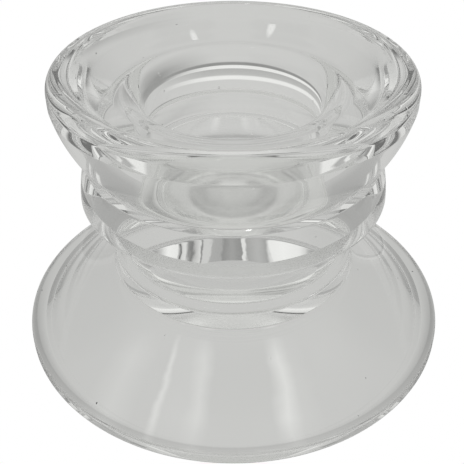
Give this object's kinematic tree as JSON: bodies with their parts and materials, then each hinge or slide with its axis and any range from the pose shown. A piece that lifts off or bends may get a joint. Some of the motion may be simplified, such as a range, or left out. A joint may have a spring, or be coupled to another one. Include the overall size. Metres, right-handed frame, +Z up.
{
  "type": "glass candle holder",
  "caption": "Clear pressed-glass candle holder: a drip dish with a round candle cup, a grooved collar and neck, and a wide hollow foot to stand on.",
  "frame": {"origin": "centre of the circle that the foot rests on, at the resting plane", "axes": "+Z up along the axis that the whole holder is turned about; X and Y are free, as the shape is the same all round"},
  "size_m": [0.104, 0.104, 0.068],
  "materials": {
    "clear_glass": "fire-polished clear soda-lime glass"
  },
  "bodies": {
    "root": {"drip_dish": "clear_glass", "candle_cup": "clear_glass", "collar": "clear_glass", "neck": "clear_glass", "step_ring": "clear_glass", "foot": "clear_glass"}
  },
  "joints": []
}
